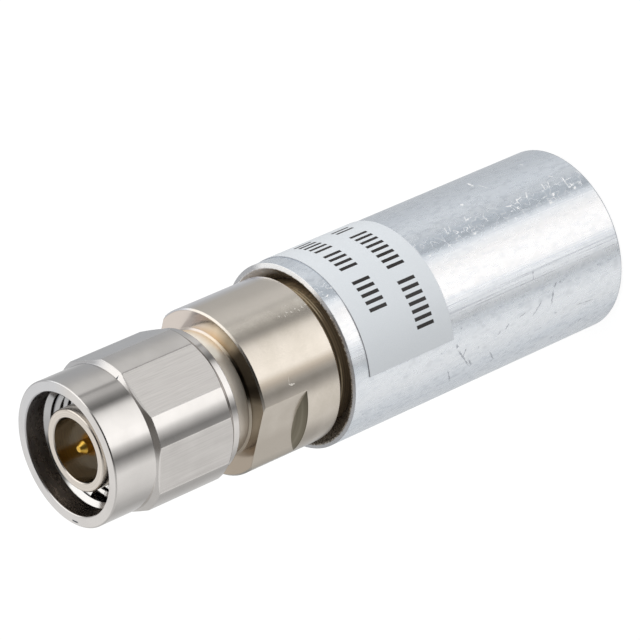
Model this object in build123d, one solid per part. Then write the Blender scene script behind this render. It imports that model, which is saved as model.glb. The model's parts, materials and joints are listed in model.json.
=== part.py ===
from build123d import *
import os
from math import exp, radians, tan

# A coaxial termination with a screw coupling: a plug that holds a resistor and its heat sink.
# Units are millimetres. The origin is the centre of the sleeve's flat rear end, on which it stands.
# +Z runs along the axis to the mating end, and angles go about Z from +X towards +Y.

# Heat sink sleeve
sleeve_length = 34.95
sleeve_diameter = 18.5
sleeve_edge_break = 0.22
sleeve_rim_fall = 0.1
sleeve_mouth_diameter = 17.5
shell_bore_diameter = 13.8
sleeve_thread_runout = 1.1
drill_point_diameter = 6.0
drill_point_angle = 118.0

# Label around the sleeve
label_width = 10.6
label_setback = 1.85
label_thickness = 0.08
label_wrap_angle = 255.5
label_start_angle = -30.5

# Main body
relief_width = 0.8
body_length = 9.3
body_diameter = 16.54
body_front_chamfer = 0.18
body_rear_chamfer = 0.14
flats_across = 14.7
flat_count = 2
flats_angle = -52.0
flats_length = 4.3
flats_runout_angle = 45.0
neck_diameter = 12.4
neck_length = 5.75
neck_root_chamfer = 0.2
tail_length = 8.55
tail_diameter = 14.4
tail_chamfer = 0.4
seal_groove_diameter = 12.9
seal_groove_width = 1.35
seal_groove_setback = 2.5
seal_width = 1.0

# Coupling nut
nut_standoff = 2.1
nut_length = 14.55
nut_round_diameter = 14.3
nut_round_length = 4.65
nut_corner_diameter = 15.44
nut_flats_across = 14.6
nut_flat_count = 6
nut_flats_angle = 19.0
nut_front_cone_length = 0.35
nut_collar_length = 0.7
nut_collar_diameter = 14.2
nut_edge_break = 0.1
mouth_diameter = 12.06
mouth_depth = 2.1
mouth_edge_break = 0.1
coupling_thread_major = 11.11
nut_relief_diameter = 11.5
nut_relief_length = 2.0
nut_shoulder_gap = 0.4
nut_lip_length = 1.28
nut_float = 0.3

# Retaining ring
ring_thickness = 0.8
ring_inner_diameter = 11.2
ring_outer_diameter = 13.2
ring_opening = 2.2
ring_opening_angle = 180.0
neck_groove_diameter = 10.3

# Interface gasket
gasket_thickness = 1.5
gasket_outer_diameter = 10.9
gasket_land_diameter = 8.4

# Outer contact
contact_recess = 1.0
contact_outer_diameter = 8.07
contact_bore = 6.31
contact_edge_break = 0.1
interface_depth = 5.3
collar_diameter = 9.0
flange_diameter = 11.0
flange_thickness = 1.2
flange_seat_depth = 2.4

# Centre contact
pin_recess = 0.4
pin_diameter = 1.35
pin_point_diameter = 0.6
pin_point_length = 0.55
barb_height = 0.2
barb_length = 0.9
barb_setback = 3.0
socket_depth = 3.2
socket_overhang = 0.9
socket_slot_width = 0.3
socket_slot_length = 2.6
socket_slot_count = 4

# Insulators and the bush behind the front one
bead_diameter = 7.0
bead_length = 6.0
line_bore = 6.0
support_bead_diameter = 8.8
support_bead_thickness = 1.5

# Resistor and its caps
resistor_diameter = 3.2
resistor_length = 22.0
cap_wall = 0.2
cap_floor = 0.6
cap_reach = 1.8
cap_standoff = 0.2
front_stub_diameter = 1.54
front_stub_length = 2.9
rear_stub_diameter = 2.0
rear_stub_length = 1.2

# Load shell and what closes it
taper_end_diameter = 4.1
bush_wall = 0.5
bush_slot_width = 0.3
bush_slot_length = 2.0
bush_slot_count = 6
plug_diameter = 8.0
plug_length = 3.0
plug_setback = 1.0
plug_slot_width = 0.8
plug_slot_depth = 0.9

# Washers behind the shell
washer_outer_diameter = 13.0
washer_inner_diameter = 6.6
backing_thickness = 0.6
spring_thickness = 0.45
spring_height = 0.9

# Clearances, on the radius unless they lie along the axis
running_gap = 0.05
slide_gap = 0.03
press_gap = 0.01
side_gap = 0.03

# Diameter ratios of an air line and a PTFE line of 50 ohm
line_impedance = 50.0
free_space_factor = 59.96
ptfe_permittivity = 2.05
air_ratio = exp(line_impedance / free_space_factor)
ptfe_ratio = exp(line_impedance * ptfe_permittivity ** 0.5 / free_space_factor)
bead_contact_diameter = bead_diameter / ptfe_ratio
line_contact_diameter = line_bore / air_ratio
taper_start_diameter = resistor_diameter * air_ratio

# Places along the axis, from the sleeve's rear end up to the nut's front
sleeve_front = sleeve_length
body_rear = sleeve_front + relief_width
body_front = body_rear + body_length
neck_front = body_front + neck_length
gasket_front = neck_front + gasket_thickness
tail_rear = body_rear - tail_length
seal_groove_front = body_rear - seal_groove_setback
seal_groove_rear = seal_groove_front - seal_groove_width
nut_rear = body_front + nut_standoff
nut_front = nut_rear + nut_length
nut_shoulder = neck_front + nut_shoulder_gap
ring_rear = nut_rear + nut_lip_length
ring_front = ring_rear + ring_thickness
contact_front = nut_front - contact_recess
pin_front = contact_front - pin_recess
flange_front = body_front - flange_seat_depth
flange_rear = flange_front - flange_thickness
bead_front = contact_front - interface_depth
bead_rear = bead_front - bead_length
support_rear = flange_rear - support_bead_thickness
socket_end = support_rear - socket_overhang
front_cap_front = socket_end - cap_standoff
resistor_front = front_cap_front - cap_floor
resistor_rear = resistor_front - resistor_length
rear_cap_rear = resistor_rear - cap_floor
bush_front = resistor_rear + cap_reach + cap_standoff
plug_front = rear_cap_rear - cap_standoff
plug_rear = plug_front - plug_length
shell_rear = plug_rear - plug_setback
backing_front = shell_rear - spring_height
sleeve_floor = backing_front - backing_thickness

# Reach of cutting tools past the metal
overrun = 1.0


def turned(*corners):
    """A full turn about Z of a closed half section, given by its corners (radius, height)."""
    return revolve(Plane.XZ * make_face(Polyline(*corners, close=True)), Axis.Z)


def tube(inner_diameter, outer_diameter, low, high):
    """A plain ring or tube between two heights."""
    inner = inner_diameter / 2
    outer = outer_diameter / 2
    return turned((inner, low), (outer, low), (outer, high), (inner, high))


def slots(width, reach, low, high, count):
    """Radial slots through a tube's wall, evenly spaced, each from the axis out to a reach."""
    height = high - low
    blade = Pos(reach / 2, 0, low + height / 2) * Box(reach, width, height)
    return [Rot(0, 0, 360 / count * number) * blade for number in range(count)]


def flat_cuts(across, diameter, low, high, angle, count):
    """What a mill takes off round stock of a diameter to leave flats, evenly spaced."""
    depth = (diameter - across) / 2 + overrun
    height = high - low
    block = Pos(across / 2 + depth / 2, 0, low + height / 2) * Box(depth, diameter, height)
    return [Rot(0, 0, angle + 360 / count * number) * block for number in range(count)]


def coupling_nut():
    """Round at the mouth, with six flats behind it that leave rounded corners, and a collar."""
    bore = neck_diameter / 2 + running_gap
    groove = ring_outer_diameter / 2 + running_gap
    groove_rear = ring_rear - side_gap
    groove_front = ring_front + side_gap
    relief = nut_relief_diameter / 2
    relief_front = nut_shoulder + nut_relief_length
    thread = coupling_thread_major / 2
    mouth = mouth_diameter / 2
    mouth_floor = nut_front - mouth_depth
    round_part = nut_round_diameter / 2
    corner = nut_corner_diameter / 2
    collar = nut_collar_diameter / 2
    collar_front = nut_rear + nut_collar_length
    cone_front = nut_front - nut_round_length
    blank = turned(
        (bore, nut_rear),
        (collar, nut_rear),
        (collar, collar_front),
        (corner, collar_front + corner - collar),
        (corner, cone_front - nut_front_cone_length),
        (round_part, cone_front),
        (round_part, nut_front - nut_edge_break),
        (round_part - nut_edge_break, nut_front),
        (mouth + mouth_edge_break, nut_front),
        (mouth, nut_front - mouth_edge_break),
        (mouth, mouth_floor),
        (thread, mouth_floor - (mouth - thread)),
        (thread, relief_front),
        (relief, relief_front),
        (relief, nut_shoulder),
        (bore, nut_shoulder),
        (bore, groove_front),
        (groove, groove_front),
        (groove, groove_rear),
        (bore, groove_rear),
    )
    cuts = flat_cuts(
        nut_flats_across,
        nut_corner_diameter,
        nut_rear - overrun,
        cone_front,
        nut_flats_angle,
        nut_flat_count,
    )
    return blank - cuts


def retaining_ring():
    """An open ring of square wire, sprung into the nut's groove."""
    ring = tube(ring_inner_diameter, ring_outer_diameter, ring_rear, ring_front)
    middle = (ring_rear + ring_front) / 2
    opening = Box(ring_outer_diameter, ring_opening, ring_thickness + overrun)
    return ring - Rot(0, 0, ring_opening_angle) * Pos(ring_outer_diameter / 2, 0, middle) * opening


def interface_gasket():
    """Square-section ring on the neck's front face."""
    inner = gasket_land_diameter + 2 * slide_gap
    return tube(inner, gasket_outer_diameter, neck_front, gasket_front)


def outer_contact():
    """Thin tube at the mating end, a land under the gasket, and a collar and flange that the body holds."""
    contact = contact_outer_diameter / 2
    land = gasket_land_diameter / 2
    bore = contact_bore / 2
    bead_bore = bead_diameter / 2 + press_gap
    collar = collar_diameter / 2
    flange = flange_diameter / 2
    return turned(
        (bead_bore, flange_rear),
        (flange, flange_rear),
        (flange, flange_front),
        (collar, flange_front),
        (collar, neck_front),
        (land, neck_front),
        (land, gasket_front),
        (contact, gasket_front),
        (contact, contact_front - contact_edge_break),
        (contact - contact_edge_break, contact_front),
        (bore + contact_edge_break, contact_front),
        (bore, contact_front - contact_edge_break),
        (bore, bead_front),
        (bead_bore, bead_front),
    )


def centre_contact():
    """Pointed pin, a barb that bites in the bead, and a slotted socket at the rear."""
    pin = pin_diameter / 2
    in_bead = bead_contact_diameter / 2
    in_line = line_contact_diameter / 2
    socket = front_stub_diameter / 2 + press_gap
    barb_front = bead_front - barb_setback
    contact = turned(
        (0, pin_front),
        (pin_point_diameter / 2, pin_front),
        (pin, pin_front - pin_point_length),
        (pin, bead_front),
        (in_bead, bead_front),
        (in_bead, barb_front),
        (in_bead + barb_height, barb_front - barb_length),
        (in_bead, barb_front - barb_length),
        (in_bead, bead_rear),
        (in_line, bead_rear),
        (in_line, socket_end),
        (socket, socket_end),
        (socket, socket_end + socket_depth),
        (0, socket_end + socket_depth),
    )
    slot_front = socket_end + socket_slot_length
    return contact - slots(
        socket_slot_width, line_contact_diameter, socket_end, slot_front, socket_slot_count
    )


def front_insulator():
    """PTFE bead, pressed over the contact's barb."""
    bore = bead_contact_diameter / 2 + press_gap
    barb_front = bead_front - barb_setback
    return turned(
        (bore, bead_rear),
        (bead_diameter / 2, bead_rear),
        (bead_diameter / 2, bead_front),
        (bore, bead_front),
        (bore, barb_front),
        (bore + barb_height, barb_front - barb_length),
        (bore, barb_front - barb_length),
    )


def retainer_bush():
    """Holds the bead, and is the outer wall of the air line behind it."""
    return tube(line_bore, bead_diameter, flange_rear, bead_rear)


def support_bead():
    """Thin bead between the contact's flange and the load shell."""
    inner = line_contact_diameter + 2 * press_gap
    return tube(inner, support_bead_diameter, support_rear, flange_rear)


def main_body():
    """Neck under the nut, wrench flats, and a tail with a seal groove and a thread."""
    collar_bore = collar_diameter / 2 + press_gap
    flange_bore = flange_diameter / 2 + press_gap
    neck = neck_diameter / 2
    neck_groove = neck_groove_diameter / 2
    neck_groove_rear = ring_rear - side_gap
    neck_groove_front = ring_front + nut_float + side_gap
    outer = body_diameter / 2
    tail = tail_diameter / 2
    seal_groove = seal_groove_diameter / 2
    blank = turned(
        (flange_bore, tail_rear),
        (tail - tail_chamfer, tail_rear),
        (tail, tail_rear + tail_chamfer),
        (tail, seal_groove_rear),
        (seal_groove, seal_groove_rear),
        (seal_groove, seal_groove_front),
        (tail, seal_groove_front),
        (tail, body_rear),
        (outer - body_rear_chamfer, body_rear),
        (outer, body_rear + body_rear_chamfer),
        (outer, body_front - body_front_chamfer),
        (outer - body_front_chamfer, body_front),
        (neck + neck_root_chamfer, body_front),
        (neck, body_front + neck_root_chamfer),
        (neck, neck_groove_rear),
        (neck_groove, neck_groove_rear),
        (neck_groove, neck_groove_front),
        (neck, neck_groove_front),
        (neck, neck_front),
        (collar_bore, neck_front),
        (collar_bore, flange_front),
        (flange_bore, flange_front),
    )
    return blank - wrench_flats()


def wrench_flats():
    """Two opposite flats, open at the front, that run out in a cone about the axis."""
    flat = flats_across / 2
    flat_end = body_front - flats_length
    reach = body_diameter / 2 + overrun
    run_out = (reach - flat) * tan(radians(flats_runout_angle))
    above_cone = turned(
        (0, flat_end),
        (flat, flat_end),
        (reach, flat_end - run_out),
        (reach, body_front + overrun),
        (0, body_front + overrun),
    )
    cuts = flat_cuts(
        flats_across,
        body_diameter,
        flat_end - run_out,
        body_front + overrun,
        flats_angle,
        flat_count,
    )
    return [cut & above_cone for cut in cuts]


def sleeve_seal():
    """Square-cut ring between the tail's groove and the sleeve's bore."""
    inner = seal_groove_diameter + 2 * press_gap
    outer = tail_diameter
    middle = (seal_groove_front + seal_groove_rear) / 2
    return tube(inner, outer, middle - seal_width / 2, middle + seal_width / 2)


def heat_sink_sleeve():
    """Bar bored from the front, with a countersunk mouth, a bore for the tail, and a drill point.

    The rim at its mouth falls slightly outwards.
    """
    outer = sleeve_diameter / 2
    mouth = sleeve_mouth_diameter / 2
    tail_bore = tail_diameter / 2 + press_gap
    shell_bore = shell_bore_diameter / 2
    point = drill_point_diameter / 2
    point_depth = point / tan(radians(drill_point_angle / 2))
    return turned(
        (0, 0),
        (outer - sleeve_edge_break, 0),
        (outer, sleeve_edge_break),
        (outer, sleeve_front - sleeve_rim_fall),
        (mouth, sleeve_front),
        (tail_bore, sleeve_front - (mouth - tail_bore)),
        (tail_bore, tail_rear - sleeve_thread_runout),
        (shell_bore, tail_rear - sleeve_thread_runout),
        (shell_bore, sleeve_floor),
        (point, sleeve_floor),
        (0, sleeve_floor - point_depth),
    )


def label():
    """Thin film on the sleeve, wrapped part of the way round."""
    inner = sleeve_diameter / 2 + press_gap
    front = sleeve_front - label_setback
    film = Plane.XZ * Pos(inner + label_thickness / 2, front - label_width / 2) * Rectangle(
        label_thickness, label_width
    )
    return Rot(0, 0, label_start_angle) * revolve(film, Axis.Z, label_wrap_angle)


def resistor_rod():
    """Ceramic rod that carries the resistive film."""
    return Pos(0, 0, resistor_rear + resistor_length / 2) * Cylinder(
        resistor_diameter / 2, resistor_length
    )


def end_cap(floor, rod_side, stub_diameter, stub_length):
    """Cap over an end of the rod. The rod lies on the given side of the floor, and the stub on the other."""
    inner = resistor_diameter / 2 + press_gap
    outer = inner + cap_wall
    stub = stub_diameter / 2
    outside = floor - rod_side * cap_floor
    return turned(
        (0, floor),
        (inner, floor),
        (inner, floor + rod_side * cap_reach),
        (outer, floor + rod_side * cap_reach),
        (outer, outside),
        (stub, outside),
        (stub, outside - rod_side * stub_length),
        (0, outside - rod_side * stub_length),
    )


def load_shell():
    """Outer conductor that tapers with the resistor, on a thick wall that takes its heat."""
    nose = flange_diameter / 2 - slide_gap
    outer = shell_bore_diameter / 2 - slide_gap
    support = support_bead_diameter / 2 + press_gap
    line = line_bore / 2
    bush = ground_bush_outer_diameter() / 2 + press_gap
    plug = plug_diameter / 2 + press_gap
    return turned(
        (plug, shell_rear),
        (outer, shell_rear),
        (outer, tail_rear),
        (nose, tail_rear),
        (nose, flange_rear),
        (support, flange_rear),
        (support, support_rear),
        (line, support_rear),
        (line, resistor_front),
        (taper_start_diameter / 2, resistor_front),
        (taper_end_diameter / 2, bush_front),
        (bush, bush_front),
        (bush, plug_front),
        (plug, plug_front),
    )


def ground_bush_inner_diameter():
    """Bore of the ground bush, over the rear cap."""
    return resistor_diameter + 2 * cap_wall + 4 * press_gap


def ground_bush_outer_diameter():
    """Outside of the ground bush, in the load shell."""
    return ground_bush_inner_diameter() + 2 * bush_wall


def ground_contact_bush():
    """Slotted bush that grips the rear cap."""
    bush = tube(ground_bush_inner_diameter(), ground_bush_outer_diameter(), plug_front, bush_front)
    return bush - slots(
        bush_slot_width,
        ground_bush_outer_diameter(),
        bush_front - bush_slot_length,
        bush_front,
        bush_slot_count,
    )


def ground_plug():
    """Plug with a blind bore for the rear stub and a driver slot behind."""
    outer = plug_diameter / 2
    bore = rear_stub_diameter / 2 + press_gap
    bore_floor = plug_front - rear_stub_length
    plug = turned(
        (0, plug_rear),
        (outer, plug_rear),
        (outer, plug_front),
        (bore, plug_front),
        (bore, bore_floor),
        (0, bore_floor),
    )
    slot = Box(plug_diameter + overrun, plug_slot_width, plug_slot_depth)
    return plug - Pos(0, 0, plug_rear + plug_slot_depth / 2) * slot


def spring_washer():
    """Coned washer, with its inner rim against the shell and its outer rim on the flat washer."""
    inner = washer_inner_diameter / 2
    outer = washer_outer_diameter / 2
    return turned(
        (inner, shell_rear - spring_thickness),
        (outer, backing_front),
        (outer, backing_front + spring_thickness),
        (inner, shell_rear),
    )


def backing_washer():
    """Flat washer on the sleeve's floor."""
    return tube(washer_inner_diameter, washer_outer_diameter, sleeve_floor, backing_front)


pieces = {
    "coupling_nut": coupling_nut(),
    "retaining_ring": retaining_ring(),
    "interface_gasket": interface_gasket(),
    "outer_contact": outer_contact(),
    "centre_contact": centre_contact(),
    "front_insulator": front_insulator(),
    "retainer_bush": retainer_bush(),
    "support_bead": support_bead(),
    "main_body": main_body(),
    "sleeve_seal": sleeve_seal(),
    "heat_sink_sleeve": heat_sink_sleeve(),
    "label": label(),
    "resistor_rod": resistor_rod(),
    "resistor_front_cap": end_cap(resistor_front, -1, front_stub_diameter, front_stub_length),
    "resistor_rear_cap": end_cap(resistor_rear, 1, rear_stub_diameter, rear_stub_length),
    "load_shell": load_shell(),
    "ground_contact_bush": ground_contact_bush(),
    "ground_plug": ground_plug(),
    "spring_washer": spring_washer(),
    "backing_washer": backing_washer(),
}
os.makedirs("parts", exist_ok=True)
for node, shape in pieces.items():
    export_step(shape, f"parts/{node}.step")
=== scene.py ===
import json
from math import cos, pi, radians, sin, tau

import bpy
from mathutils import Matrix, Vector


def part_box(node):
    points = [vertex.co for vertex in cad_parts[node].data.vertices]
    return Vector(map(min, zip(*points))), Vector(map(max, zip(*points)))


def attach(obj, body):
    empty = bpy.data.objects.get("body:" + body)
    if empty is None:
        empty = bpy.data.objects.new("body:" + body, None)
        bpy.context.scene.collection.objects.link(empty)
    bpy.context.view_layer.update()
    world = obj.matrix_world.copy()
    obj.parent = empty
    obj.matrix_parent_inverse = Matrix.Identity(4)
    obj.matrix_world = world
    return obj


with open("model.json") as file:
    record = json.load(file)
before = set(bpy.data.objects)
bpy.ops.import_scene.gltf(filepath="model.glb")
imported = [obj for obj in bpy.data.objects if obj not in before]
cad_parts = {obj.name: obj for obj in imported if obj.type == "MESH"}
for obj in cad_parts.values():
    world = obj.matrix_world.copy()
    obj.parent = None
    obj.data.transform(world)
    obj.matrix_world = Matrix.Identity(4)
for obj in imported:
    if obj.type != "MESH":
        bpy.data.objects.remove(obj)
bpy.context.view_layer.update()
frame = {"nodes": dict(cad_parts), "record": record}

# A coaxial termination in nickel-plated brass and bare aluminium. It stands on its rear end.
# Units are metres and the frame is the solids' own: the axis is Z, with the mating end up.
# Angles go about Z from +X, the side that the camera is on, towards +Y, and are degrees.
# Sizes inside the materials are millimetres.

mm = 0.001

# Camera: on the side of +X, above the mating end, and turned so that the axis points down and left
camera_place = Vector((338.56, 2.28, 267.8)) * mm
camera_right = Vector((0.52702, -0.3997, -0.75))
camera_up = Vector((0.22918, 0.91664, -0.32746))
focal_length = 245.83
sensor_width = 36.0


def top(node):
    """Height of a piece's front end in millimetres."""
    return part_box(node)[1].z / mm


def bottom(node):
    """Height of a piece's rear end in millimetres."""
    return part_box(node)[0].z / mm


def reach(node):
    """Radius of a round piece in millimetres."""
    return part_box(node)[1].x / mm


# Coupling nut: round front, cone, flats, chamfer and collar
nut_front = top("coupling_nut")
nut_rear = bottom("coupling_nut")
nut_round_length = 4.65
nut_collar_length = 0.7
nut_collar_radius = 7.1
nut_corner_radius = 7.72
nut_cone_front = nut_front - nut_round_length
mouth_depth = 2.1
mouth_floor = nut_front - mouth_depth
mouth_radius = 6.03
thread_major = 11.11
thread_crest = 10.26

# Everywhere on the nut's chamfer, height less radius has this value
nut_chamfer_place = nut_rear + nut_collar_length - nut_collar_radius

# Outer contact
contact_front = top("outer_contact")
contact_bore_radius = 3.155

# Body: neck, round part with two wrench flats, and tail
neck_length = 2.1
neck_radius = 6.2
body_length = 9.3
body_front = nut_rear - neck_length
body_rear = body_front - body_length
body_radius = reach("main_body")
wrench_flat_radius = 7.35
wrench_flat_length = 4.3

# Everywhere on a wrench flat's run-out, height and radius have this sum
run_out_sum = wrench_flat_radius + body_front - wrench_flat_length

# Sleeve and label
sleeve_front = top("heat_sink_sleeve")
sleeve_radius = reach("heat_sink_sleeve")
sleeve_mouth_radius = 8.75
sleeve_mouth_depth = 2.0
sleeve_rim_depth = 0.12
sleeve_rear_edge = 0.26
label_front = top("label")

# Marks are (height, angle, length, width, slant off the axis in degrees). Heights are above the
# rear end of the piece that has the marks.
nut_nicks = [(nut_front - nut_rear, -119, 1.0, 0.6, 90)]
nut_nick_radius = 6.7
nut_nick_reach = (6.68, 6.84)
nut_specks = [(nut_cone_front - 0.06 - nut_rear, 39, 0.18, 0.1, 60)]
nut_speck_radius = 7.2
body_scratches = [(5.65, -16.6, 0.8, 0.14, 19)]
body_hair_scratches = [(5.85, -13.5, 0.8, 0.05, 100)]
body_dust_heights = (0.15, 5.25)
body_dust = [
    (3.55, 27, 0.26, 0.16, 20),
    (2.95, 26, 0.2, 0.12, 60),
    (2.55, 28, 0.24, 0.16, 80),
    (2.05, 27, 0.3, 0.16, 10),
    (1.55, 28, 0.2, 0.14, 50),
    (1.25, 26, 0.24, 0.14, 30),
    (0.75, 27, 0.22, 0.16, 0),
    (0.25, 28, 0.2, 0.12, 45),
]
sleeve_dents = [
    (11.5, -35, 2.0, 0.1, -45),
    (9.0, -25, 0.6, 0.2, -40),
    (9.5, -32, 1.6, 0.14, -75),
    (11.5, -14, 0.9, 0.1, -75),
    (21.0, -47, 3.5, 0.15, -125),
    (21.0, -43, 1.1, 0.14, -65),
    (20.0, -53, 1.3, 0.2, -120),
    (22.0, -36, 0.5, 0.2, -120),
    (5.0, -61, 0.7, 0.12, 130),
    (5.0, -46, 2.8, 0.08, 5),
    (22.5, -57, 2.4, 0.12, -115),
    (17.0, -56, 1.9, 0.12, -125),
    (13.5, -35, 1.0, 0.08, 165),
    (15.5, -38, 0.8, 0.1, -50),
    (9.0, -44, 0.4, 0.16, 30),
    (16.5, -40, 0.6, 0.1, -55),
]
sleeve_nicks = [
    (10.5, 62, 1.2, 0.16, -80),
    (10.0, 54, 1.3, 0.06, -105),
    (14.0, 46, 0.4, 0.16, -125),
    (4.0, 60, 0.6, 0.14, -80),
    (15.2, 35, 0.7, 0.1, -70),
    (14.9, 34, 0.9, 0.1, 175),
    (15.5, 29, 0.6, 0.08, -75),
    (18.0, 33, 0.8, 0.1, -75),
    (17.5, 33, 0.9, 0.08, -65),
    (10.0, 31, 0.8, 0.12, -175),
    (8.8, 32, 0.7, 0.1, -80),
    (8.4, 33, 0.8, 0.1, 170),
    (7.4, 33, 1.1, 0.1, -60),
    (5.0, 34, 0.9, 0.1, -75),
    (4.3, 34, 0.9, 0.08, -65),
    (3.3, 39, 0.5, 0.12, -130),
    (2.5, 31, 1.5, 0.1, -80),
    (2.0, 32, 0.9, 0.08, 175),
    (0.4, 34, 0.7, 0.1, -100),
    (13.3, 29, 0.6, 0.1, -110),
]


def srgb(red, green, blue):
    """A colour from its levels on a screen, 0 to 255, in linear light."""
    shares = [value / 255 for value in (red, green, blue)]
    linear = [s / 12.92 if s <= 0.04045 else ((s + 0.055) / 1.055) ** 2.4 for s in shares]
    return (*linear, 1.0)


class Tree:
    """A node tree and the short forms that its shaders are written in."""

    def __init__(self, tree):
        self.tree = tree
        tree.nodes.clear()

    def node(self, kind, inputs=None, **settings):
        """Adds a node. Each input is linked if it is a socket, or else set to its value."""
        made = self.tree.nodes.new("ShaderNode" + kind)
        for name, value in settings.items():
            setattr(made, name, value)
        for name, value in (inputs or {}).items():
            if isinstance(value, bpy.types.NodeSocket):
                self.tree.links.new(value, made.inputs[name])
            else:
                made.inputs[name].default_value = value
        return made

    def math(self, operation, *values):
        """A sum on one to three numbers or sockets."""
        return self.node("Math", dict(enumerate(values)), operation=operation).outputs[0]

    def times(self, value, factor):
        return self.math("MULTIPLY", value, factor)

    def map(self, value, low, high, to_low=0.0, to_high=1.0):
        """A value brought from one range to another, and held inside it."""
        limits = {0: value, 1: low, 2: high, 3: to_low, 4: to_high}
        return self.node("MapRange", limits).outputs[0]

    def spread(self, noise, to_low=0.0, to_high=1.0, about=0.2):
        """A noise brought to a range, which its values from 0.5 - about to 0.5 + about fill."""
        return self.map(noise, 0.5 - about, 0.5 + about, to_low, to_high)

    def mix(self, share, first, second):
        """The first colour at share 0, and the second at 1."""
        made = self.node("Mix", {0: share, 6: first, 7: second}, data_type="RGBA")
        return made.outputs[2]

    def paint(self, colour, *coats):
        """A colour under some coats, each (share, colour). A later coat covers an earlier one."""
        for share, coat in coats:
            colour = self.mix(share, colour, coat)
        return colour

    def blend(self, share, first, second):
        """The first number at share 0, and the second at 1."""
        return self.node("Mix", {0: share, 2: first, 3: second}).outputs[0]

    def both(self, *shares):
        """The product of some shares."""
        product = shares[0]
        for share in shares[1:]:
            product = self.math("MULTIPLY", product, share)
        return product

    def either(self, *shares):
        """The largest of some shares."""
        largest = shares[0]
        for share in shares[1:]:
            largest = self.math("MAXIMUM", largest, share)
        return largest

    def outside(self, share):
        """What a share leaves of 1."""
        return self.math("SUBTRACT", 1.0, share)

    def band(self, value, low, high, soft):
        """1 between two values and 0 outside them, over a soft edge."""
        rise = self.map(value, low - soft, low + soft)
        fall = self.map(value, high - soft, high + soft, 1.0, 0.0)
        return self.both(rise, fall)

    def ramp(self, value, stops):
        """Grey levels along a value from 0 to 1. Stops are (place, level)."""
        made = self.node("ValToRGB", {0: value})
        elements = made.color_ramp.elements
        while len(elements) < len(stops):
            elements.new(1.0)
        for element, (place, level) in zip(elements, stops):
            element.position = place
            element.color = (level, level, level, 1.0)
        return made.outputs[0]

    def angle(self, vector):
        """A vector's angle about Z in degrees, from -180 to 180."""
        parts = self.node("SeparateXYZ", {0: vector})
        turn = self.math("ARCTAN2", parts.outputs[1], parts.outputs[0])
        return self.times(turn, 180 / pi)


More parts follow.
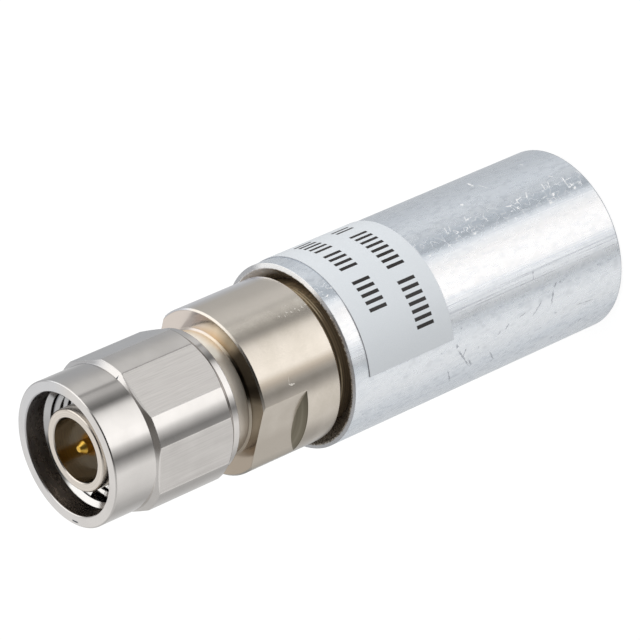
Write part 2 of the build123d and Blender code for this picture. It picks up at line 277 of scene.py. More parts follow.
class Surface(Tree):
    """A material whose patterns follow the axis. Lengths in its patterns are millimetres."""

    def __init__(self, name):
        self.material = bpy.data.materials.new(name)
        self.material.use_nodes = True
        super().__init__(self.material.node_tree)
        place = self.node("TexCoord").outputs["Object"]
        self.place = self.node("VectorMath", {0: place, 3: 1 / mm}, operation="SCALE").outputs[0]
        parts = self.node("SeparateXYZ", {0: self.place})
        self.height = parts.outputs[2]
        self.turn = self.angle(self.place)
        self.far_side = self.map(self.math("ABSOLUTE", self.turn), 100.0, 175.0)
        across = self.math("POWER", parts.outputs[0], 2.0)
        along = self.math("POWER", parts.outputs[1], 2.0)
        self.radius = self.math("SQRT", self.math("ADD", across, along))

    def by_turn(self, low, high, to_low=0.0, to_high=1.0):
        """A map by turn. It comes to its middle value at the far side, where both turns meet."""
        near = self.map(self.turn, low, high, to_low, to_high)
        return self.blend(self.far_side, near, (to_low + to_high) / 2)

    def turns(self, low, high, soft):
        """1 between two turns."""
        return self.band(self.turn, low, high, soft)

    def above(self, height, soft=0.01):
        """1 above a height."""
        return self.map(self.height, height - soft, height + soft)

    def below(self, height, soft=0.01):
        """1 below a height."""
        return self.map(self.height, height - soft, height + soft, 1.0, 0.0)

    def within(self, radius, soft=0.01):
        """1 inside a radius."""
        return self.map(self.radius, radius - soft, radius + soft, 1.0, 0.0)

    def noise(self, scale, stretch=(1, 1, 1), detail=3.0, shift=(0, 0, 0)):
        """Noise in space, with its features stretched along the axes of the object."""
        place = self.node("Mapping", {0: self.place, 1: shift, 3: stretch}).outputs[0]
        made = self.node("TexNoise", {"Vector": place, "Scale": scale, "Detail": detail})
        return made.outputs["Fac"]

    def axial_lines(self, scale, length=40.0, shift=(0, 0, 0)):
        """Fine lines along the axis, as drawing or milling leaves them."""
        return self.noise(scale, (1, 1, 1 / length), 4.0, shift)

    def rings(self, scale, detail=2.0):
        """Fine rings about the axis, as turning leaves them."""
        place = self.node("CombineXYZ", {0: self.radius, 1: 0.0, 2: self.height}).outputs[0]
        made = self.node("TexNoise", {"Vector": place, "Scale": scale, "Detail": detail})
        return made.outputs["Fac"]

    def specks(self, spacing, size, stretch=(1, 1, 1), share=0.5, shift=(0, 0, 0)):
        """1 in small spots scattered over the surface. Share is how many cells hold one."""
        place = self.node("Mapping", {0: self.place, 1: shift, 3: stretch}).outputs[0]
        cells = self.node("TexVoronoi", {"Vector": place, "Scale": 1 / spacing})
        chance = self.node("SeparateColor", {0: cells.outputs["Color"]}).outputs[0]
        width = self.map(chance, 1 - share, 1.0, 0.0, size / spacing)
        beyond = self.math("SUBTRACT", cells.outputs["Distance"], width)
        return self.map(beyond, -0.02, 0.02, 1.0, 0.0)

    def strokes(self, marks, radius, rear=0.0):
        """1 on short marks that lie at a radius, on a piece whose rear end is at a height."""
        arc_per_degree = radius * pi / 180
        wander = self.math("SUBTRACT", self.noise(5.0, detail=2.0), 0.5)
        drawn = []
        for height, turn, length, width, slant in marks:
            up = self.math("SUBTRACT", self.height, rear + height)
            side = self.times(self.math("SUBTRACT", self.turn, turn), arc_per_degree)
            lift = cos(radians(slant))
            lean = sin(radians(slant))
            along = self.math("MULTIPLY_ADD", side, lean, self.times(up, lift))
            across = self.math("MULTIPLY_ADD", side, lift, self.times(up, -lean))
            across = self.math("MULTIPLY_ADD", wander, 3 * width, across)
            long = self.map(self.math("ABSOLUTE", along), 0.3 * length, 0.5 * length, 1.0, 0.0)
            thin = self.map(self.math("ABSOLUTE", across), 0.25 * width, 0.6 * width, 1.0, 0.0)
            drawn.append(self.both(long, thin))
        return self.either(*drawn)

    def rounded(self, radius):
        """The surface's normal, with its edges rounded by a small radius."""
        return self.node("Bevel", {"Radius": radius * mm}, samples=6).outputs[0]

    def bump(self, height, depth, normal):
        """The normal over a relief of a depth."""
        made = self.node("Bump", {"Height": height, "Distance": depth * mm, "Normal": normal})
        return made.outputs[0]

    def finish(self, colour, roughness, normal, metallic=1.0, anisotropic=None):
        """Ends the material with its main shader. Anisotropic metal is drawn round the axis."""
        shader = self.node(
            "BsdfPrincipled",
            {"Base Color": colour, "Roughness": roughness, "Normal": normal, "Metallic": metallic},
        )
        if anisotropic:
            shader.inputs["Anisotropic"].default_value = anisotropic
            tangent = self.node("Tangent", direction_type="RADIAL", axis="Z").outputs[0]
            self.tree.links.new(tangent, shader.inputs["Tangent"])
        self.node("OutputMaterial", {"Surface": shader.outputs[0]})
        return self.material


def nut_flats(s):
    """1 on the nut's milled flats, and 1 on the chamfer behind them."""
    rise = s.math("SUBTRACT", s.height, s.radius)
    flats = s.both(
        s.map(rise, nut_chamfer_place + 0.03, nut_chamfer_place + 0.06),
        s.below(nut_cone_front - 0.33, 0.05),
        s.within(nut_corner_radius - 0.03, 0.015),
    )
    chamfer = s.both(
        s.map(rise, nut_chamfer_place - 0.03, nut_chamfer_place - 0.01),
        s.below(nut_rear + 1.4),
        s.map(rise, nut_chamfer_place + 0.02, nut_chamfer_place + 0.04, 1.0, 0.0),
    )
    return flats, chamfer


def nut_inside(s, wall, smear):
    """Tones inside the nut: a pale thread, painted shade in brown on the smooth wall at its mouth,
    and painted shade in the thread's root.
    """
    thread_root = thread_major / 2
    root = s.both(
        s.map(s.radius, thread_root - 0.135, thread_root - 0.035),
        s.below(mouth_floor - 0.45),
    )
    return s.paint(
        srgb(232, 229, 224),
        # Painted shade: the mouth wall is brown and dark, mottled by a smear.
        (wall, s.mix(smear, srgb(114, 101, 88), srgb(138, 123, 107))),
        # Painted shade: the thread's root is darkened.
        (root, srgb(60, 53, 47)),
    )


def nut_plate():
    """Bright nickel: turned round parts, milled flats with lines, and an inside darkened by
    painted shade.
    """
    s = Surface("nickel_nut")
    lines = s.axial_lines(7.0, 50.0)
    fine = s.axial_lines(19.0, 50.0, (3.1, 1.7, 0.4))
    rings = s.rings(16.0)
    cloud = s.noise(0.45, detail=2.0)
    smear = s.map(s.noise(0.9, (1, 1, 2.5), 2.0), 0.4, 0.62)

    # Places
    flats, chamfer = nut_flats(s)
    upper = s.turns(-1.0, 39.0, 1.0)
    inside = s.both(s.within(mouth_radius + 0.08), s.below(nut_front - 0.08))
    wall = s.above(mouth_floor + 0.03)

    # Marks
    pits = s.specks(1.3, 0.06, share=0.1)
    nick = s.both(
        s.strokes(nut_nicks, nut_nick_radius, nut_rear),
        s.band(s.radius, *nut_nick_reach, 0.03),
    )
    speck = s.strokes(nut_specks, nut_speck_radius, nut_rear)

    milled = s.math("MULTIPLY_ADD", lines, 0.6, s.times(cloud, 0.4))
    tone = s.spread(s.blend(flats, cloud, milled))
    lit_flat = s.mix(s.spread(fine, about=0.15), srgb(250, 246, 242), srgb(234, 230, 226))
    cool_reflection = s.mix(flats, srgb(210, 212, 217), srgb(226, 231, 238))
    base = s.paint(
        srgb(231, 227, 223),
        (s.both(tone, s.blend(flats, 0.4, 1.0)), srgb(210, 206, 202)),
        # Painted shade: the chamfer behind the flats is darkened.
        (chamfer, srgb(120, 110, 102)),
        (inside, nut_inside(s, wall, smear)),
        # Painted light: the upper flat, from -1° to 39°, is lightened.
        (s.both(flats, upper, 0.8), lit_flat),
        # Painted reflection: a cool tint on the nut from 48° on.
        (s.both(s.by_turn(48.0, 66.0), 0.6), cool_reflection),
        (s.either(s.times(pits, 0.6), nick, speck), srgb(66, 72, 80)),
    )

    dull = s.times(upper, 0.14)
    flat_gloss = s.spread(fine, s.math("ADD", dull, 0.28), s.math("ADD", dull, 0.4))
    gloss = s.blend(flats, s.spread(rings, 0.09, 0.13), flat_gloss)
    gloss = s.blend(s.both(inside, wall), gloss, s.map(smear, 0.0, 1.0, 0.34, 0.24))
    flat_relief = s.math("MULTIPLY_ADD", fine, 0.6, s.times(lines, 1.3))
    relief = s.blend(flats, s.times(rings, 0.25), flat_relief)
    relief = s.math("SUBTRACT", relief, s.either(pits, nick))
    return s.finish(base, gloss, s.bump(relief, 0.003, s.rounded(0.1)), anisotropic=0.3)


def body_face_reflection(s):
    """Painted reflection on the body's front face: tones by turn for the dark under the nut, which
    the face mirrors.
    """
    return s.paint(
        srgb(178, 165, 149),
        (s.by_turn(-58.0, -44.0), srgb(192, 182, 166)),
        (s.by_turn(-23.0, -17.0), srgb(100, 91, 77)),
        (s.turns(-15.0, -8.0, 2.0), srgb(72, 64, 53)),
        (s.by_turn(16.0, 24.0), srgb(174, 160, 140)),
        (s.by_turn(29.0, 42.0), srgb(230, 214, 192)),
        (s.by_turn(44.0, 60.0), srgb(228, 217, 208)),
    )


def body_tail(s):
    """Tones of the tail: darkened by painted shade, with lighter rings, a side painted lighter
    from 30° to 62°, and light strips that are painted highlights where its thread shows.
    """
    strip = s.either(
        s.band(s.height, body_rear - 1.09, body_rear - 0.97, 0.04),
        s.both(
            s.band(s.height, body_rear - 1.36, body_rear - 1.28, 0.04),
            s.turns(15.0, 50.0, 4.0),
        ),
    )
    strip = s.both(strip, s.either(s.turns(18.0, 75.0, 6.0), s.turns(-50.0, -18.0, 6.0), 0.08))
    patches = s.spread(s.noise(3.0, detail=4.0), 0.3, 1.0, about=0.1)
    return s.paint(
        srgb(84, 74, 60),
        (s.map(s.rings(5.0, 4.0), 0.35, 0.7), srgb(172, 150, 120)),
        (s.both(s.turns(30.0, 62.0, 6.0), patches), srgb(196, 172, 138)),
        (strip, srgb(240, 224, 190)),
    )


def body_marks(s):
    """Two bright scratches by the highlight, and dust along a line above it."""
    scratch = s.either(
        s.times(s.strokes(body_scratches, body_radius, body_rear), 0.75),
        s.times(s.strokes(body_hair_scratches, body_radius, body_rear), 0.3),
    )
    low, high = body_dust_heights
    dust_place = s.both(
        s.turns(26.0, 33.0, 3.0),
        s.band(s.height, body_rear + low, body_rear + high, 0.5),
    )
    dust = s.either(
        s.both(s.specks(0.5, 0.13, share=0.8), dust_place),
        s.strokes(body_dust, body_radius, body_rear),
    )
    return s.either(scratch, s.times(dust, 0.55))


def body_run_out(s):
    """1 where the cutter left the body's flats."""
    slope = s.math("ADD", s.radius, s.height)
    return s.both(
        s.map(slope, run_out_sum + 0.02, run_out_sum + 0.04, 1.0, 0.0),
        s.above(body_rear + 1.0),
        s.within(body_radius - 0.02),
    )


def body_plate():
    """Warm satin nickel, with painted light and shade, a tail behind it darkened by painted shade,
    and dull run-outs at its flats.
    """
    s = Surface("nickel_body")
    satin = s.noise(14.0, (1, 1, 0.3), 3.0)
    lines = s.axial_lines(5.0, 30.0)
    cloud = s.noise(0.4, detail=2.0)
    tone = s.math("MULTIPLY_ADD", satin, 0.3, s.times(cloud, 0.7))
    streaks = s.spread(s.rings(1.6, 3.0), about=0.15)
    bright = body_marks(s)

    # Places on the round part and the tail
    round_part = s.both(s.below(body_front - 0.02), s.above(body_rear + 0.02))
    run_out = body_run_out(s)
    rear_edge = s.below(body_rear + 0.15)
    glint = s.both(rear_edge, s.above(body_rear + 0.005, 0.005), s.turns(38.0, 56.0, 4.0))
    tail = s.below(body_rear - 0.01)
    lower = s.both(s.by_turn(-58.0, -48.0, 1.0, 0.0), s.above(body_rear + 2.2, 0.4))
    # Dust along the line of specks, with a painted sheen: the band from 24° to 38° is paler and
    # less metallic.
    film = s.both(s.turns(24.0, 38.0, 5.0), round_part, s.spread(s.noise(0.8), 0.3, 0.5))

    # Places on the neck and the front face
    front = s.above(body_front - 0.01)
    near_neck = s.within(neck_radius + 0.02)
    neck = s.both(near_neck, front)
    neck_rise = s.map(s.height, body_front + 0.3, body_front + 1.1)
    golden = s.by_turn(24.0, 33.0)
    face = s.both(front, s.outside(near_neck))
    corner = s.both(neck, s.map(s.height, body_front + 0.1, body_front + 0.35, 1.0, 0.0))
    foot = s.both(face, s.within(neck_radius + 0.35, 0.1), s.turns(-17.0, 8.0, 3.0))
    # Painted highlight on the neck from 24° to 38°.
    patch = s.both(
        neck,
        s.turns(24.0, 38.0, 4.0),
        s.map(s.height, body_front + 0.5, body_front + 0.9),
    )

    base = s.paint(
        srgb(227, 218, 206),
        (s.spread(tone, about=0.15), srgb(216, 207, 194)),
        # Painted light and shade on the round part: lighter from 27° on, bluish white from 66° on,
        # and darker below -48°.
        (s.both(s.by_turn(27.0, 38.0), round_part, 0.6), srgb(241, 234, 225)),
        (s.both(s.by_turn(66.0, 76.0), round_part), srgb(246, 247, 252)),
        (s.both(lower, round_part, 0.8), srgb(206, 197, 184)),
        (run_out, s.mix(streaks, srgb(112, 105, 88), srgb(170, 162, 144))),
        # Painted highlights: a golden line on the rear edge, and a glint on it from 38° to 56°.
        (rear_edge, srgb(240, 200, 146)),
        (glint, srgb(255, 222, 172)),
        (face, body_face_reflection(s)),
        # Painted light and shade on the neck: a painted highlight from 24° on, rising paler,
        # painted shade below -50°, and a painted highlight patch from 24° to 38°.
        (s.both(neck, golden), s.mix(neck_rise, srgb(240, 220, 192), srgb(252, 247, 238))),
        (s.both(neck, s.by_turn(-62.0, -50.0, 1.0, 0.0)), srgb(198, 188, 174)),
        (patch, srgb(226, 221, 210)),
        # Painted shade in the foot of the neck and in the corner at its root.
        (foot, srgb(72, 62, 50)),
        (s.both(corner, s.turns(-60.0, 20.0, 6.0)), srgb(120, 106, 88)),
        # Painted shade on the tail, with painted highlights on its thread.
        (tail, body_tail(s)),
        # Painted shade below -74° on the round part, and a painted reflection: a dimmer band from
        # -13.5° to -7°.
        (s.both(s.by_turn(-84.0, -74.0, 1.0, 0.0), round_part), srgb(172, 168, 160)),
        (s.both(s.turns(-13.5, -7.0, 2.0), round_part), srgb(208, 196, 180)),
        # Dust with a painted sheen, paler from 24° to 38°.
        (film, srgb(226, 220, 208)),
        (bright, srgb(250, 246, 238)),
    )

    rough_neck = s.both(neck, s.map(s.height, body_front + 0.08, body_front + 0.2))
    gloss = s.blend(bright, s.spread(satin, 0.17, 0.21), 0.5)
    for place, roughness in ((front, 0.13), (rough_neck, 0.42), (s.either(tail, run_out), 0.4)):
        gloss = s.blend(place, gloss, roughness)
    # Less metal on scratches and dust, on the tail in painted shade, and for the painted sheen and
    # glint.
    less_metallic = s.either(bright, s.times(tail, 0.9), film, s.times(glint, 0.8))
    metallic = s.blend(less_metallic, 1.0, 0.3)
    open_neck = s.both(neck, s.outside(corner))
    metallic = s.blend(open_neck, metallic, s.blend(golden, 0.76, 0.4))
    metallic = s.blend(patch, metallic, 0.1)
    relief = s.math("MULTIPLY_ADD", satin, 0.35, s.times(lines, 0.3))
    relief = s.math("ADD", relief, bright)
    normal = s.bump(relief, 0.0012, s.rounded(0.08))
    return s.finish(base, gloss, normal, metallic, anisotropic=0.5)


def contact_plate():
    """The outer contact's plate: bright on the rim, and browner and darker inside the bore, as
    painted shade.
    """
    s = Surface("nickel_contact")
    inside = s.both(s.within(contact_bore_radius + 0.06), s.below(contact_front - 0.1))
    rings = s.rings(9.0)
    tone = s.spread(rings)
    # Painted shade: the bore's inside is browner and darker.
    base = s.mix(
        inside,
        s.mix(tone, srgb(238, 230, 220), srgb(222, 212, 200)),
        s.mix(tone, srgb(202, 190, 172), srgb(186, 174, 156)),
    )
    normal = s.bump(rings, 0.0015, s.rounded(0.06))
    return s.finish(base, s.blend(inside, 0.2, 0.16), normal)


def gold():
    """Polished gold plate on the pin."""
    s = Surface("gold")
    rings = s.rings(12.0)
    base = s.mix(s.spread(rings), srgb(255, 214, 104), srgb(236, 184, 76))
    return s.finish(base, s.spread(rings, 0.27, 0.34), s.bump(rings, 0.002, s.rounded(0.1)))


def aluminium_dents(s, frost, lower):
    """Grey dents on the sleeve, mostly on its lower side: drawn ones, pits and pocks."""
    pitted = s.both(s.map(frost, 0.6, 0.68), lower)
    pocks = s.specks(0.8, 0.12, (1, 1, 0.8), 0.4, (6.0, 1.0, 2.0))
    pocks = s.both(pocks, s.by_turn(-22.0, -16.0, 1.0, 0.12))
    drawn = s.strokes(sleeve_dents, sleeve_radius)
    return s.either(drawn, s.times(pitted, 0.15), s.times(pocks, 0.6))


def aluminium_nicks(s, frost):
    """White nicks on the sleeve: drawn ones, ticks and curved scratches on a ridge, and strays."""
    ticks = s.specks(0.5, 0.16, (1, 1, 0.45), 0.55, (0.7, 0.2, 0.0))
    small = s.specks(0.4, 0.1, (1, 1, 1.6), 0.5, (3.7, 1.2, 0.0))
    patchy = s.spread(s.noise(0.7, detail=2.0, shift=(9.0, 3.0, 1.0)), about=0.05)
    ridge = s.both(s.either(ticks, small), s.turns(23.0, 32.0, 3.0), patchy)
    contours = s.math("SUBTRACT", s.noise(1.1, detail=1.0, shift=(4.0, 2.0, 8.0)), 0.5)
    curves = s.both(
        s.map(s.math("ABSOLUTE", contours), 0.005, 0.012, 1.0, 0.0),
        s.turns(20.0, 33.0, 3.0),
        s.map(frost, 0.36, 0.44),
    )
    strays = s.specks(2.6, 0.12, (1, 1, 0.7), 0.14, (0.3, 0.9, 0.0))
    return s.either(ridge, curves, strays, s.strokes(sleeve_nicks, sleeve_radius))


def aluminium_mouth(s):
    """The sleeve's mouth, with a ragged edge, which takes painted shade, and the far side of its
    wall, which is painted bright.
    """
    wobble = s.math("MULTIPLY_ADD", s.noise(4.5, detail=5.0), 0.3, s.radius)
    wobble = s.math("ADD", wobble, s.by_turn(12.0, 26.0, -0.12, 0.0))
    mouth = s.both(
        s.map(wobble, sleeve_mouth_radius + 0.12, sleeve_mouth_radius + 0.24, 1.0, 0.0),
        s.above(sleeve_front - sleeve_mouth_depth),
    )
    deep = s.both(
        s.turns(91.0, 168.0, 7.0),
        s.map(s.height, sleeve_front - 1.6, sleeve_front - 0.7),
    )
    shallow = s.both(
        s.turns(75.0, 170.0, 9.0),
        s.map(s.height, sleeve_front - 0.9, sleeve_front - 0.4),
    )
    far = s.both(mouth, s.either(deep, shallow))
    return s.both(mouth, s.outside(far)), far


def aluminium_mouth_shade(s):
    """Painted shade in the mouth: dark brown, mottled, with pale chips on its upper half."""
    return s.paint(
        srgb(70, 60, 50),
        (s.map(s.noise(7.0, detail=4.0), 0.42, 0.62), srgb(176, 168, 154)),
        (s.both(s.specks(0.28, 0.1), s.turns(8.0, 46.0, 6.0)), srgb(236, 232, 224)),
    )


def aluminium():
    """Bare drawn aluminium: frosted, with draw lines, white nicks, grey dents, and painted light
    and shade in bands, on its rim and in its mouth.
    """
    s = Surface("aluminium")
    lines = s.axial_lines(4.0, 60.0)
    fine = s.axial_lines(13.0, 40.0, (5.0, 2.0, 1.0))
    cloud = s.noise(0.55, (1, 1, 0.5), 4.0)
    frost = s.noise(1.3, (1, 1, 0.7), 3.0, (1.0, 4.0, 2.0))
    streaks = s.map(s.axial_lines(9.0, 160.0, (2.0, 6.0, 3.0)), 0.4, 0.5)
    mottle = s.map(s.noise(2.4, (1, 1, 0.45), 5.0, (8.0, 2.0, 5.0)), 0.5, 0.66)
    tone = s.math("MULTIPLY_ADD", cloud, 0.5, s.times(lines, 0.5))

    # Places and marks
    lower = s.by_turn(-24.0, -12.0, 1.0, 0.25)
    highlight = s.turns(-8.0, 16.0, 4.0)
    # Painted light: bands that are made brighter, with fewer dark mottles.
    painted_light_bands = s.either(
        highlight,
        s.turns(-52.0, -28.0, 6.0),
        s.turns(8.0, 21.0, 3.0),
        s.turns(-21.0, -8.0, 3.0),
    )
    streaky = s.either(s.turns(-18.0, -6.0, 2.5), s.turns(18.0, 33.0, 2.5))
    frosted = s.either(s.both(s.turns(-17.5, -8.0, 2.0), streaks), s.turns(14.0, 22.0, 3.0))
    rim = s.both(s.above(sleeve_front - sleeve_rim_depth), s.within(sleeve_radius + 0.1))
    rim_light = s.both(rim, s.turns(28.0, 84.0, 5.0))
    dents = aluminium_dents(s, frost, lower)
    nicks = aluminium_nicks(s, frost)
    mouth, far = aluminium_mouth(s)

    base = s.paint(
        srgb(244, 249, 254),
        (s.spread(tone), srgb(236, 243, 251)),
        # Painted shade: darker and bluer from 34° to 60°.
        (s.by_turn(34.0, 60.0, 0.0, 0.45), srgb(212, 220, 230)),
        # Painted light in bands, and a painted highlight in neutral white from -8° to 16°.
        (s.both(painted_light_bands, 0.8), srgb(249, 252, 255)),
        (highlight, srgb(247, 246, 246)),
        (s.both(mottle, s.blend(painted_light_bands, 0.5, 0.22)), srgb(206, 213, 222)),
        (s.both(streaky, s.outside(streaks)), srgb(230, 234, 240)),
        # Painted reflection: a blue band from 22° to 33°.
        (s.both(s.turns(22.0, 33.0, 3.0), 0.5), srgb(214, 226, 238)),
        (s.times(dents, 0.75), srgb(150, 154, 163)),
        (nicks, srgb(252, 252, 252)),
        (s.below(sleeve_rear_edge, 0.03), srgb(176, 182, 190)),
        # Painted shade on the rim, and a painted highlight on it from 28° to 84°.
        (rim, srgb(188, 189, 192)),
        (rim_light, srgb(254, 254, 254)),
        # Painted shade in the mouth.
        (mouth, aluminium_mouth_shade(s)),
        # Painted light: the far side of the mouth's wall is white.
        (far, srgb(253, 253, 253)),
    )

    metallic = s.blend(s.by_turn(-45.0, -30.0, 1.0, 0.0), 0.72, 0.36)
    # Less metal on frosted bands and nicks, in the mouth's painted shade, and for the painted
    # highlight on the rim and the painted white far wall.
    metallic_lowered = ((frosted, 0.3), (nicks, 0.15), (rim_light, 0.25), (mouth, 0.4), (far, 0.1))
    for place, share in metallic_lowered:
        metallic = s.blend(place, metallic, share)
    gloss = s.blend(s.either(nicks, mouth), s.spread(frost, 0.24, 0.32), 0.5)
    drawn = s.math("ADD", 0.6, s.times(s.turns(-21.0, -7.0, 4.0), 0.9))
    relief = s.math("MULTIPLY_ADD", fine, 0.25, s.times(lines, drawn))
    relief = s.math("MULTIPLY_ADD", frost, s.times(lower, 0.6), relief)
    relief = s.math("SUBTRACT", relief, s.times(s.either(dents, nicks), 0.6))
    normal = s.bump(relief, 0.014, s.rounded(0.15))
    return s.finish(base, gloss, normal, metallic, anisotropic=0.3)


# Print on the label: rows of plain strokes
stroke_height = 2.1
stroke_pitch = 4.7
stroke_share = 0.48

# Rows are (front edge, groups), and groups are (first angle, count)
label_rows = [
    (label_front - 2.1, ((4.5, 5), (35.0, 4), (57.0, 5))),
    (label_front - 6.5, ((-15.5, 7), (24.0, 8), (69.0, 2))),
]


def label_film():
    """Matt silver film with two rows of plain dark strokes, and a dark line at its front edge,
    which is a painted shadow.
    """
    s = Surface("label_film")
    grain = s.noise(12.0, detail=3.0)
    strokes = []
    for front, groups in label_rows:
        row = s.band(s.height, front - stroke_height, front, 0.03)
        for first, count in groups:
            steps = s.math("DIVIDE", s.math("SUBTRACT", s.turn, first), stroke_pitch)
            stroke = s.math("LESS_THAN", s.math("FRACT", steps), stroke_share)
            begun = s.math("GREATER_THAN", steps, 0.0)
            not_ended = s.math("LESS_THAN", steps, count - 0.5)
            strokes.append(s.both(row, stroke, begun, not_ended))
    # Painted shadow along the front edge, darker below -10°.
    line = s.mix(s.by_turn(-10.0, 35.0), srgb(128, 128, 132), srgb(188, 191, 196))
    base = s.paint(
        srgb(212, 217, 221),
        (s.spread(grain), srgb(218, 222, 226)),
        (s.either(*strokes), srgb(38, 34, 33)),
        (s.above(label_front - 0.04), line),
    )
    return s.finish(base, 0.5, s.bump(grain, 0.0015, s.rounded(0.03)), metallic=0.0)


def plain(name, colour, other, roughness, metallic):
    """A material for pieces that are hidden or hardly seen: two close tones and a fine relief."""
    s = Surface(name)
    grain = s.noise(6.0, detail=3.0)
    base = s.mix(s.spread(grain, about=0.15), colour, other)
    gloss = s.spread(grain, roughness * 0.85, roughness * 1.15)
    return s.finish(base, gloss, s.bump(grain, 0.004, s.rounded(0.04)), metallic=metallic)


materials = {
    "nickel_nut": nut_plate(),
    "nickel_body": body_plate(),
    "nickel_contact": contact_plate(),
    "gold": gold(),
    "aluminium": aluminium(),
    "label_film": label_film(),
    "silicone": plain("silicone", srgb(110, 42, 34), srgb(92, 34, 28), 0.6, 0.0),
    "ptfe": plain("ptfe", srgb(236, 236, 232), srgb(228, 228, 224), 0.45, 0.0),
    "bronze": plain("bronze", srgb(196, 140, 98), srgb(178, 122, 84), 0.3, 1.0),
    "brass_inner": plain("brass_inner", srgb(214, 186, 120), srgb(200, 170, 104), 0.28, 1.0),
    "silver_plate": plain("silver_plate", srgb(228, 228, 222), srgb(216, 216, 210), 0.25, 1.0),
    "spring_steel": plain("spring_steel", srgb(150, 150, 152), srgb(134, 134, 137), 0.35, 1.0),
    "ceramic": plain("ceramic", srgb(70, 62, 56), srgb(58, 51, 46), 0.5, 0.0),
}
for part in frame["record"]["subparts"]:
    frame["nodes"][part["node"]].data.materials[0] = materials[part["material_slot"]]


# Coupling thread: a ridge on the wall inside the nut
thread_pitch = 25.4 / 28
thread_start_depth = 2.6
thread_end_depth = 8.5
thread_front = nut_front - thread_start_depth
thread_rear = nut_front - thread_end_depth
thread_crest_width = thread_pitch / 8
thread_root_width = thread_pitch * 0.86
thread_sink = 0.02
thread_steps_per_turn = 96


def coupling_thread():
    """A right-handed ridge on the nut's wall, from its four corners carried round a helix."""
    crest = thread_crest / 2
    root = thread_major / 2 + thread_sink
    section = [
        (root, -thread_root_width / 2),
        (crest, -thread_crest_width / 2),
        (crest, thread_crest_width / 2),
        (root, thread_root_width / 2),
    ]
    corners = len(section)
    length = thread_front - thread_rear - thread_root_width
    steps = round(length / thread_pitch * thread_steps_per_turn)
    vertices = []
    faces = []
    for step in range(steps + 1):
        turn = tau * step / thread_steps_per_turn
        middle = thread_rear + thread_root_width / 2 + thread_pitch * step / thread_steps_per_turn
        for radius, along in section:
            corner = Vector((radius * cos(turn), radius * sin(turn), middle + along))
            vertices.append(corner * mm)
    for step in range(steps):
        first = corners * step
        for side in range(corners):
            after = (side + 1) % corners
            near = (first + side, first + after)
            faces.append((*near, near[1] + corners, near[0] + corners))
    faces.append(tuple(reversed(range(corners))))
    faces.append(tuple(corners * steps + side for side in range(corners)))
    mesh = bpy.data.meshes.new("coupling_thread")
    mesh.from_pydata(vertices, [], faces)
    mesh.materials.append(materials["nickel_nut"])
    thread = bpy.data.objects.new("coupling_thread", mesh)
    bpy.context.scene.collection.objects.link(thread)
    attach(thread, "nut")


coupling_thread()


# Studio: what a mirror shows by the angle about Z, below and above the horizon, as shares of white
studio_low = [
    (-180, 0.55), (-150, 0.45), (-130, 0.36), (-115, 0.43), (-100, 0.56), (-85, 0.63), (-70, 0.66),
    (-60, 0.68), (-52, 0.51), (-44, 0.3), (-36, 0.16), (-30, 0.31), (-22, 0.58), (-15, 0.97),
    (-8, 1.0), (0, 1.0), (10, 0.95), (20, 0.89), (30, 0.78), (36, 0.62), (41, 0.33), (46, 0.12),
    (52, 0.18), (58, 0.28), (63, 0.4), (70, 0.42), (75, 0.22), (79, 0.53), (92, 0.5), (108, 0.4),
    (145, 0.36), (180, 0.55),
]
studio_high = [
    (-180, 0.67), (-160, 0.52), (-140, 0.44), (-110, 0.48), (-100, 0.5), (-85, 0.43), (-65, 0.4),
    (-50, 0.13), (-35, 0.03), (0, 0.01), (25, 0.03), (48, 0.13), (58, 0.55), (66, 1.0), (113, 1.0),
    (124, 0.98), (134, 0.45), (150, 0.48), (180, 0.67),
]
studio_gain = 1.26
horizon_blend = (-0.1, 0.25)
zenith_fade = (0.87, 0.935)
zenith_share = 0.9
zenith_colour = srgb(92, 89, 86)
plain_level = 0.76
white = (1.0, 1.0, 1.0, 1.0)

floor_size = 3.0
floor_drop = 0.02
floor_matt = (0.2, 0.2, 0.2, 1.0)
floor_bounce = (0.8, 0.8, 0.8, 1.0)
floor_own_white = 0.87

lamp_place = (0.35, 0.55, 0.35)
lamp_size = 0.4
lamp_power = 2.2


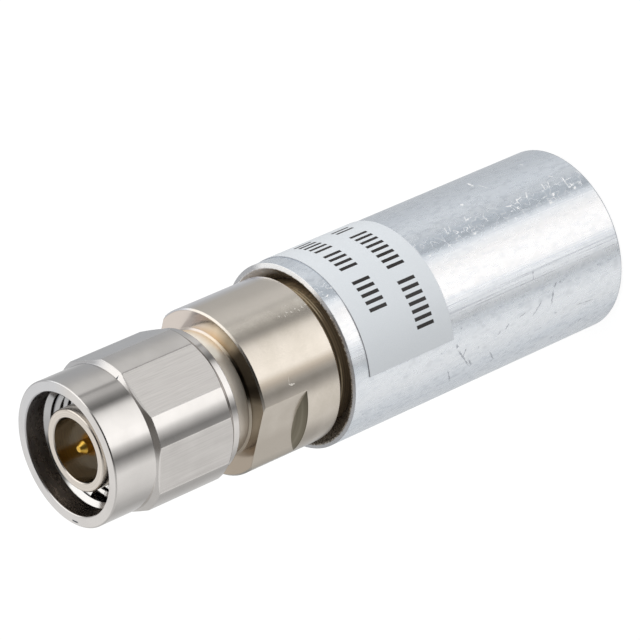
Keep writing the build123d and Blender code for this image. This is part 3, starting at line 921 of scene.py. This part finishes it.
def studio_world():
    """White behind the object, pale and dark cards in its reflections, and plain light on it."""
    world = bpy.data.worlds.new("studio")
    bpy.context.scene.world = world
    world.use_nodes = True
    t = Tree(world.node_tree)
    direction = t.node("TexCoord").outputs["Generated"]
    share = t.map(t.angle(direction), -180.0, 180.0)
    low, high = (
        t.ramp(share, [((angle + 180) / 360, level) for angle, level in stops])
        for stops in (studio_low, studio_high)
    )
    rise = t.node("SeparateXYZ", {0: direction}).outputs[2]
    high = t.mix(t.map(rise, *zenith_fade, 0.0, zenith_share), high, zenith_colour)
    cards = t.mix(t.map(rise, *horizon_blend), low, high)
    rays = t.node("LightPath").outputs
    seen = t.math("MAXIMUM", rays["Is Camera Ray"], rays["Is Transmission Ray"])
    reflected = t.node("Background", {0: cards, 1: studio_gain}).outputs[0]
    plain_light = t.node("Background", {0: white, 1: plain_level}).outputs[0]
    backdrop = t.node("Background", {0: white, 1: 1.0}).outputs[0]
    lit = t.node("MixShader", {0: rays["Is Glossy Ray"], 1: plain_light, 2: reflected}).outputs[0]
    shown = t.node("MixShader", {0: seen, 1: lit, 2: backdrop}).outputs[0]
    t.node("OutputWorld", {"Surface": shown})


def studio_floor():
    """A white floor at the rear end. Most of its white is its own, so its shadow stays light."""
    bpy.ops.mesh.primitive_plane_add(size=floor_size, location=(0, 0, -floor_drop * mm))
    floor = bpy.context.object
    floor.name = "floor"
    s = Surface("floor")
    matt = s.node("BsdfDiffuse", {"Color": floor_matt}).outputs[0]
    own = s.node("Emission", {"Color": white, "Strength": floor_own_white}).outputs[0]
    seen = s.node("AddShader", {0: matt, 1: own}).outputs[0]
    bounce = s.node("BsdfDiffuse", {"Color": floor_bounce}).outputs[0]
    rays = s.node("LightPath").outputs
    shown = s.node("MixShader", {0: rays["Is Camera Ray"], 1: bounce, 2: seen}).outputs[0]
    s.node("OutputMaterial", {"Surface": shown})
    floor.data.materials.append(s.material)
    floor.visible_glossy = False


def studio_lamp():
    """A square soft light that faces the object's middle, and that no mirror shows."""
    light = bpy.data.lights.new("lamp_above", "AREA")
    light.size = lamp_size
    light.energy = lamp_power
    lamp = bpy.data.objects.new("lamp_above", light)
    lamp.location = Vector(lamp_place)
    aim = Vector((0, 0, nut_front / 2 * mm)) - lamp.location
    lamp.rotation_euler = aim.to_track_quat("-Z", "Y").to_euler()
    lamp.visible_glossy = False
    bpy.context.scene.collection.objects.link(lamp)


def studio_camera():
    """The camera, which looks down on the mating end."""
    camera = bpy.data.cameras.new("camera")
    camera.lens = focal_length
    camera.sensor_width = sensor_width
    camera.clip_start = 0.01
    eye = bpy.data.objects.new("camera", camera)
    back = camera_right.cross(camera_up)
    turn = Matrix((camera_right, camera_up, back)).transposed()
    eye.matrix_world = Matrix.Translation(camera_place) @ turn.to_4x4()
    bpy.context.scene.collection.objects.link(eye)
    bpy.context.scene.camera = eye


studio_world()
studio_floor()
studio_camera()
studio_lamp()
bpy.context.scene.view_settings.view_transform = "Standard"
